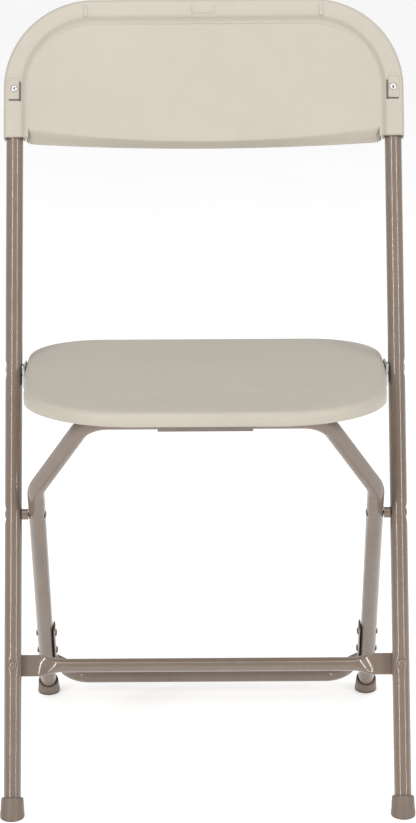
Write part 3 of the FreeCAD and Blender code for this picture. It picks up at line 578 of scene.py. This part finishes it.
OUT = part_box("backrest_shell")[1][0] / MM
OVER_TUBE = 2.5                      # shell outside the tube
CROWN = TOP_UP + FRONT_R + OVER_TUBE
CORNER = BEND + FRONT_R + OVER_TUBE
FACE = FRONT_R + 2.4                 # front of the rim
REARWARD = -8.0                      # rear edge of the channel round the tube
LOW = CROWN - 158.5
RIM = 23.6                           # width of the rim
PANEL = 6.0                          # front of the panel, where it meets the rim
BEVEL = 9.0                          # width of the step from rim to panel
INSIDE = RIM + 1.5
INNER = OUT - INSIDE
INNER_TOP = CROWN - INSIDE
INNER_CORNER = CORNER - INSIDE
PANEL_WALL = 2.8


def rim_section():
    """From the outer edge over the rim, down to the panel and round the tube's channel."""
    section = []
    for k in range(7):
        t = math.pi / 2 * k / 6
        section.append((5.0 * (1 - math.cos(t)), FACE - 5.0 * (1 - math.sin(t))))
    start, level = RIM - 6.0, FACE - 0.25
    section += [(12, FACE), (RIM - 8.0, FACE), (start, level)]
    for k in range(1, 12):
        section.append((start + BEVEL * k / 12, level - (level - PANEL) * ease(k / 12)))
    section += [(RIM + 3.0, PANEL), (RIM + 4.0, PANEL - 0.2), (RIM + 4.0, PANEL - 2.6),
                (RIM + 0.4, PANEL - 3.2), (RIM, REARWARD + 0.6), (RIM - 0.5, REARWARD),
                (RIM - 1.7, REARWARD), (RIM - 2.1, REARWARD + 0.5), (RIM - 2.1, FRONT_R + 0.1),
                (2.3, FRONT_R + 0.1), (2.3, REARWARD + 0.5), (1.8, REARWARD), (0.5, REARWARD),
                (0.0, REARWARD + 0.5)]
    return section


def panel_top(x):
    past = abs(x) - (INNER - INNER_CORNER)
    if past <= 0:
        return INNER_TOP
    return INNER_TOP - INNER_CORNER + math.sqrt(max(0.0, INNER_CORNER ** 2 - past ** 2))


def panel_low(x):
    """The panel's lower edge, which hangs lowest in the middle."""
    t = (x / INNER) ** 2
    corner = 2.4 * max(0.0, (abs(x) - INNER + 9) / 9) ** 2
    return LOW - 10.6 + 6.4 * t + corner


def panel_column(x, thick):
    """One line of points up the panel: its turned-under lip, then its hollow face."""
    low, high = panel_low(x), panel_top(x)
    lip = 6.0 + 8.5 * (x / INNER) ** 2
    hollow = 2.4 * (1 - (x / INNER) ** 2)
    line = []
    for share, down in ((0.0, 11.0), (0.06, 10.6), (0.3, 7.6), (0.6, 4.0), (0.82, 1.6),
                        (0.93, 0.6), (1.0, 0.15)):
        line.append((low + thick * 0.3 + (lip - thick * 0.3) * share, PANEL - thick - down))
    start = low + lip + 1.2
    rows = 22
    for k in range(rows + 1):
        f = k / rows
        up = start + (high - start) * f
        line.append((up, PANEL - thick - hollow * math.sin(math.pi * f) ** 0.7))
    return [Vector((x, up, z)) for up, z in line]


def panel_rings(count=120):
    """Sections across the panel, closer together towards its sides."""
    rings = []
    for k in range(count + 1):
        t = -1 + 2 * k / count
        x = INNER * math.sin(t * math.pi / 2) * 0.35 + INNER * t * 0.65
        rings.append(panel_column(x, 0.0) + panel_column(x, PANEL_WALL)[::-1])
    return rings


rim_path = fillet_path([(-OUT, LOW), (-OUT, CROWN), (OUT, CROWN), (OUT, LOW)],
                       [0, CORNER, CORNER, 0], 3.0)
piece("backrest_skin", *join([skin(swept(rim_path, rim_section())), skin(panel_rings())]), FRONT,
      PLASTIC, "front_frame", "seat_plastic", ("backrest_shell",))

SCREW_UP = TOP_UP - 91.0
PAD = 0.7                            # screw pads stand this far out of the rim


def rim_rib(x):
    """A short upright rib with a domed section."""
    rings = []
    for k in range(7):
        t = math.pi / 2 * k / 6
        r = 2.6 * math.cos(t)
        ring = []
        for j in range(24):
            angle = 2 * math.pi * j / 24
            stretch = 4.6 if math.sin(angle) > 0 else -4.6
            ring.append(Vector((x + r * math.cos(angle),
                                CROWN - 13.5 + stretch + r * math.sin(angle),
                                FACE - 0.2 + 1.3 * math.sin(t))))
        rings.append(ring)
    return skin(rings)


# moulded into the rim: two ribs, the outline of a clip and the screw pads
details = [rim_rib(-133), rim_rib(133)]
clip_path = fillet_path([(-13, CROWN - 8), (-13, CROWN - 16.5), (13, CROWN - 16.5),
                         (13, CROWN - 8)], [0, 2.5, 2.5, 0], 0.8)
clip_section = [(-0.7, FACE - 0.4), (-0.5, FACE + 0.25), (0.5, FACE + 0.25), (0.7, FACE - 0.4)]
details.append(skin(swept(clip_path, clip_section)))
for _, side in SIDES:
    x0, x1 = sorted((side * (HALF - 5.3), side * (HALF + 7.0)))
    details.append(slab(x0, x1, SCREW_UP - 12, SCREW_UP + 12, FACE - 1.2, FACE + PAD, 0.6))
piece("backrest_details", *join(details), FRONT, PLASTIC, "front_frame", "seat_plastic")

# painted shadow: thin dark slabs laid on the rim where the gap along the inner side and the foot of each screw pad
# would lie in shade
slot_shadows = []
for _, side in SIDES:
    edge = side * (HALF - 6.7)
    slot_shadows.append(slab(edge - 0.9, edge + 0.9, SCREW_UP - 13.5, SCREW_UP + 8, FACE - 0.6,
                      FACE + 0.06, 0.02))
    x0, x1 = sorted((side * (HALF - 7.4), side * (HALF + 6.0)))
    slot_shadows.append(slab(x0, x1, SCREW_UP - 13.9, SCREW_UP - 12.1, FACE - 0.6, FACE + 0.06, 0.02))
piece("backrest_slot_shadows", *join(slot_shadows), FRONT, SHADOW, "front_frame", "seat_plastic", smooth=False)

# ---------------------------------------------------------------- tubes

DENT_R = 24.0                        # radius of the dents at the front tube's pivots
DENT_DEEP = 2.0
REAR_DENT_R = 22.0
REAR_DENT_DEEP = 1.5
CREASE_R = 16.0
CREASE_DEEP = 1.5                    # under the crossbar's rivets
DENT_LONG = 30
LIP = 0.7                            # how far a dent's edge swells the tube
ALONG_X = Vector((1, 0, 0))
ALONG_Z = Vector((0, 0, 1))


def pressed(q, p, dents):
    """Pushes a tube's skin out of each dent; a dent is a cylinder lying across it."""
    for centre, axis, radius, length in dents:
        if (p - centre).length > 60:
            continue
        along = (q - centre).dot(axis)
        if abs(along) > length / 2:
            continue
        away = q - centre - axis * along
        deep = radius + LIP - away.length
        if deep <= 0:
            continue
        soft = min(1.0, deep / (2 * LIP))
        q = q + away.normalized() * (max(0.0, radius - away.length)
                                     + LIP * (1 - abs(2 * soft - 1)) * 0.5)
    return q


front_dents = []
for _, side in SIDES:
    for up in (PIVOT_UP, CROSS_UP):
        front_dents.append((Vector((side * (HALF + FRONT_R + DENT_R - DENT_DEEP), up, 0)),
                            ALONG_Z, DENT_R, DENT_LONG))
    front_dents.append((Vector((side * HALF, BAR_UP, FRONT_R + CREASE_R - CREASE_DEEP)), ALONG_X,
                        CREASE_R, DENT_LONG))
front_path = fillet_path([(-HALF, 8), (-HALF, TOP_UP), (HALF, TOP_UP), (HALF, 8)],
                         [0, BEND, BEND, 0], 2.6)
front_rings = swept(front_path, round_section(FRONT_R),
                    lambda q, p: pressed(q, p, front_dents))
piece("front_tube_skin", *skin(front_rings), FRONT, PAINT, "front_frame", "frame_paint",
      ("front_frame_tube",))

SPACER = 7.0                         # between the front and rear tubes
SPACER_PLAY = 0.45
REAR_HALF = HALF - FRONT_R - SPACER - SPACER_PLAY - REAR_R
SPLAY = 9.5                          # how far a rear leg's end stands outside its knee
LEG_END = 9.0                        # floor to the rear tube's end, inside its cap
KNEE_UP = REAR_PIVOT_UP + 47.0
REAR_TOP_UP = REAR_PIVOT_UP + 171.1
LOOP_HALF = REAR_HALF - 61.5         # half width of the upper loop's top


def leg_x(up):
    """Distance of a rear leg's centre line from the middle."""
    return REAR_HALF + SPLAY * (REAR_PIVOT_UP - up) / (KNEE_UP - LEG_END)


rear_dents = []
for _, side in SIDES:
    rear_dents.append((Vector((side * (REAR_HALF - REAR_R - REAR_DENT_R + REAR_DENT_DEEP),
                               REAR_PIVOT_UP, 0)), ALONG_Z, REAR_DENT_R, DENT_LONG))
half_path = [(-leg_x(LEG_END), LEG_END), (-leg_x(KNEE_UP), KNEE_UP), (-LOOP_HALF, REAR_TOP_UP)]
rear_points = half_path + [(-x, y) for x, y in reversed(half_path)]
rear_path = fillet_path(rear_points, [0, 45, 36, 36, 45, 0], 2.6)
rear_rings = swept(rear_path, round_section(REAR_R),
                   lambda q, p: pressed(q, p, rear_dents))
piece("rear_tube_skin", *skin(rear_rings), REAR, PAINT, "rear_frame", "frame_paint",
      ("rear_frame_tube",))

# ---------------------------------------------------------------- front crossbar

TAB_T = 3.0                          # thickness of a bar's flattened end
BAR_Z = -FRONT_R - TAB_T / 2
TAB_END = HALF + 8.0
TAB_START = HALF - 25.0
ROUND_END = HALF - 53.0


def squashed_section(tall, thick, count=48, power=2.0):
    """A closed superellipse section: (up, forward) pairs."""
    section = []
    for k in range(count):
        angle = 2 * math.pi * k / count
        c, s = math.cos(angle), math.sin(angle)
        section.append((tall / 2 * math.copysign(abs(c) ** (2 / power), c),
                        thick / 2 * math.copysign(abs(s) ** (2 / power), s)))
    return section


def bar_stations():
    """Places along the bar, closer together where it goes from round to flat."""
    places = []
    x = -TAB_END
    while x < TAB_END - 0.01:
        places.append(x)
        x += 1.2 if abs(x) > ROUND_END - 4 else 6.0
    return places + [TAB_END]


def bar_ring(x):
    """The bar's section at x: round, or flattened and taller towards its ends."""
    t = ease((abs(x) - ROUND_END) / (TAB_START - ROUND_END))
    end = max(0.0, (abs(x) - (TAB_END - 5)) / 5)
    tall = 2 * BAR_R + 8.8 * t
    flatten = ease((abs(x) - ROUND_END - 3) / (TAB_START - ROUND_END - 3))
    thick = 2 * BAR_R - (2 * BAR_R - TAB_T) * flatten
    tall *= math.sqrt(max(0.02, 1 - 0.35 * end * end))
    lean_over = 2.0 * math.sin(math.pi * t)
    return [Vector((x, BAR_UP + u, BAR_Z + v - lean_over * u / 12))
            for u, v in squashed_section(tall, thick, power=2.0 + 3.0 * t)]


piece("crossbar_skin", *skin([bar_ring(x) for x in bar_stations()]), FRONT, PAINT, "front_frame",
      "frame_paint", ("front_crossbar",))

# ---------------------------------------------------------------- rear brace

BRACE_UP = 32.0
BRACE_TOP = 148.0
BRACE_BEND = 30
PRESS_FROM = 62.0                    # the ends go from round to flat between these heights
PRESS_TO = 76.0
BRACE_HALF = leg_x(BRACE_TOP) - REAR_R - 8.5


def brace_shape(q, p):
    """Presses the brace's ends flat against the inner sides of the legs."""
    t = ease((p.y - PRESS_FROM) / (PRESS_TO - PRESS_FROM))
    if t <= 0:
        return q
    side = math.copysign(1.0, p.x)
    flat_x = (side * (leg_x(max(p.y, PRESS_TO)) - REAR_R - TAB_T / 2)
              + (q.x - p.x) * (TAB_T / 2) / BAR_R)
    return Vector((q.x + (flat_x - q.x) * t, q.y, q.z))


brace_path = fillet_path([(-BRACE_HALF, BRACE_TOP - 0.1), (-BRACE_HALF, BRACE_UP),
                          (BRACE_HALF, BRACE_UP), (BRACE_HALF, BRACE_TOP - 0.1)],
                         [0, BRACE_BEND, BRACE_BEND, 0], 1.8)
piece("brace_skin", *skin(swept(brace_path, round_section(BAR_R, 36), brace_shape)), REAR, PAINT,
      "rear_frame", "frame_paint", ("rear_brace",))

# ---------------------------------------------------------------- rivets, bolts, screws

DENT_FLOOR = HALF + FRONT_R - DENT_DEEP
BRACE_RIVETS_UP = (95.5, 134.0)
SCREW_HEAD = 2.3                     # height of a backrest screw's head
SCREW_R = 1.7


def head(radius, height, at, out):
    return skin(lathe(dome(radius, height), at, out))


def shank(radius, length, at, out):
    """A plain shank that runs back from a head and a little way into it."""
    return skin(lathe([(radius, -length), (radius, 0.1)], at, out))


def pivot_bolt(label, side, out):
    at = (side * DENT_FLOOR, PIVOT_UP, 0)
    bolt = join([head(5.5, 1.85, at, out), shank(PIN_R, 29.0, at, out)])
    piece("pivot_bolt_head_" + label, *bolt, FRONT, ZINC, "front_frame", "painted_rivets",
          ("seat_pivot_bolt_" + label,))


def cross_rivet(label, side, out):
    """Runs from the front tube's dent to the one on the rear tube's inner side."""
    inner = REAR_HALF - REAR_R + REAR_DENT_DEEP - 0.3
    at = (side * DENT_FLOOR, CROSS_UP, 0)
    rivet = join([head(5.0, 1.75, at, out), shank(PIN_R, DENT_FLOOR - inner, at, out),
                  head(4.4, 2.0, (side * inner, CROSS_UP, 0), -out)])
    piece("cross_rivet_" + label, *rivet, FRONT, PAINT, "front_frame", "painted_rivets",
          ("cross_pivot_rivet_" + label,))


def crossbar_rivet(label, side):
    front, rear = FRONT_R - CREASE_DEEP, BAR_Z - TAB_T / 2
    at = Vector((side * HALF, BAR_UP, front))
    rivet = join([head(4.7, 2.4, at, ALONG_Z), shank(PIN_R, front - rear, at, ALONG_Z),
                  head(3.9, 1.6, (side * HALF, BAR_UP, rear), -ALONG_Z)])
    piece("crossbar_rivet_" + label, *rivet, FRONT, PAINT, "front_frame", "painted_rivets",
          ("front_crossbar_rivet_" + label,))


def brace_rivets(label, side, out):
    heads = []
    for up in BRACE_RIVETS_UP:
        start = leg_x(up) - REAR_R - TAB_T
        stop = leg_x(up) + REAR_R
        at = (side * start, up, 0)
        heads += [head(4.1, 1.8, at, -out), shank(PIN_R, stop - start, at, -out),
                  head(3.7, 1.6, (side * stop, up, 0), out)]
    piece("brace_rivets_" + label, *join(heads), REAR, PAINT, "rear_frame", "painted_rivets",
          ("rear_brace_rivets_" + label,))


def back_screw(label, side):
    """A domed screw with a Phillips recess pressed into its head, and thin dark slabs over that recess as its
    painted shadow.
    """
    x, up, base = side * HALF, SCREW_UP, FACE + PAD
    at = Vector((x, up, base))
    rings = lathe(dome(3.9, SCREW_HEAD), at, ALONG_Z, 48)
    for ring in rings[3:]:
        for i, q in enumerate(ring):
            away = q - at
            arm = min(abs(away.x), abs(away.y))
            reach = max(abs(away.x), abs(away.y))
            if reach < 2.0:
                sunk = 0.3 * ease((0.62 - arm) / 0.35) * ease((2.0 - reach) / 0.5)
                ring[i] = Vector((q.x, q.y, q.z - sunk))
    screw = join([skin(rings), shank(SCREW_R, 9.0, at, ALONG_Z)])
    piece("back_screw_" + label, *screw, FRONT, BRIGHT, "front_frame", "bright_screws",
          ("backrest_screw_" + label,))
    # painted shadow: two thin dark slabs lying in the screw head's recess
    level = base + SCREW_HEAD
    recess_shade = join([slab(x - 1.9, x + 1.9, up - 0.5, up + 0.5, level - 1.0, level + 0.02, 0.05),
                  slab(x - 0.5, x + 0.5, up - 1.9, up + 1.9, level - 1.0, level + 0.02, 0.05)])
    piece("back_screw_recess_shade_" + label, *recess_shade, FRONT, SHADOW, "front_frame", "bright_screws",
          smooth=False)


for label, side in SIDES:
    outward = Vector((side, 0, 0))
    pivot_bolt(label, side, outward)
    cross_rivet(label, side, outward)
    crossbar_rivet(label, side)
    brace_rivets(label, side, outward)
    back_screw(label, side)

# ---------------------------------------------------------------- foot caps

FRONT_CAP_TALL = 20.5
REAR_CAP_TALL = 25.0
WELD = 0.00002                       # metres


def foot(name, matrix, x, splay, tube_r, height, body):
    """A moulded cap: flared skirt, small collar, cut flat where it meets the floor."""
    radius = tube_r + CAP_WALL
    profile = [(0.5, -30), (radius + 1.25, -30), (radius + 1.25, 4.0), (radius + 1.0, 5.2),
               (radius + 0.8, 6.2), (radius + 0.3, height - 4), (radius + 0.1, height - 1.1),
               (radius - 0.2, height - 0.4), (radius - 0.8, height - 0.05),
               (tube_r + 0.5, height), (tube_r + 0.2, height - 0.5), (tube_r, height - 3)]
    fine = []
    for (r0, h0), (r1, h1) in zip(profile[:-1], profile[1:]):
        n = max(1, int(abs(h1 - h0) / 2.0))
        for k in range(n):
            fine.append((r0 + (r1 - r0) * k / n, h0 + (h1 - h0) * k / n))
    fine.append(profile[-1])
    axis = Matrix.Rotation(math.radians(splay), 3, "Z") @ Vector((0, 1, 0))
    rings = lathe(fine, (x, 0, 0), axis, 56)
    world_axis = matrix.to_3x3() @ axis
    for ring in rings:
        for i, q in enumerate(ring):
            low = (matrix @ q).z
            if low < 0:
                ring[i] = q + axis * (-low / world_axis.z)
    made = piece(name + "_skin", *skin(rings), matrix, CAP, body, "foot_caps", (name,))
    shape = bmesh.new()
    shape.from_mesh(made.data)
    bmesh.ops.remove_doubles(shape, verts=shape.verts, dist=WELD)
    bmesh.ops.dissolve_degenerate(shape, dist=WELD, edges=shape.edges)
    shape.to_mesh(made.data)
    shape.free()


splay_angle = math.degrees(math.atan(SPLAY / (KNEE_UP - LEG_END)))
for label, side in SIDES:
    foot("front_foot_" + label, FRONT, side * HALF, 0.0, FRONT_R, FRONT_CAP_TALL, "front_frame")
    foot("rear_foot_" + label, REAR, side * leg_x(0), side * splay_angle, REAR_R, REAR_CAP_TALL,
         "rear_frame")

# ---------------------------------------------------------------- floor

FLOOR_HALF = 45                      # metres

floor_mesh = bpy.data.meshes.new("floor")
floor_mesh.from_pydata([(-FLOOR_HALF, -FLOOR_HALF, 0), (FLOOR_HALF, -FLOOR_HALF, 0),
                        (FLOOR_HALF, FLOOR_HALF, 0), (-FLOOR_HALF, FLOOR_HALF, 0)], [],
                       [(0, 1, 2, 3)])
floor = bpy.data.objects.new("floor", floor_mesh)
scene.collection.objects.link(floor)
paper = Nodes("pale_floor")
paper.link(paper.ramp(paper.noise(3.0), [(0.3, 0.95), (0.7, 0.98)]),
           paper.shader.inputs["Base Color"])
paper.set("Roughness", 0.9)
paper.set("Emission Color", (1.0, 1.0, 1.0, 1.0))
paper.set("Emission Strength", 0.30)
paper.set("Specular IOR Level", 0.1)
floor_mesh.materials.append(paper.material)
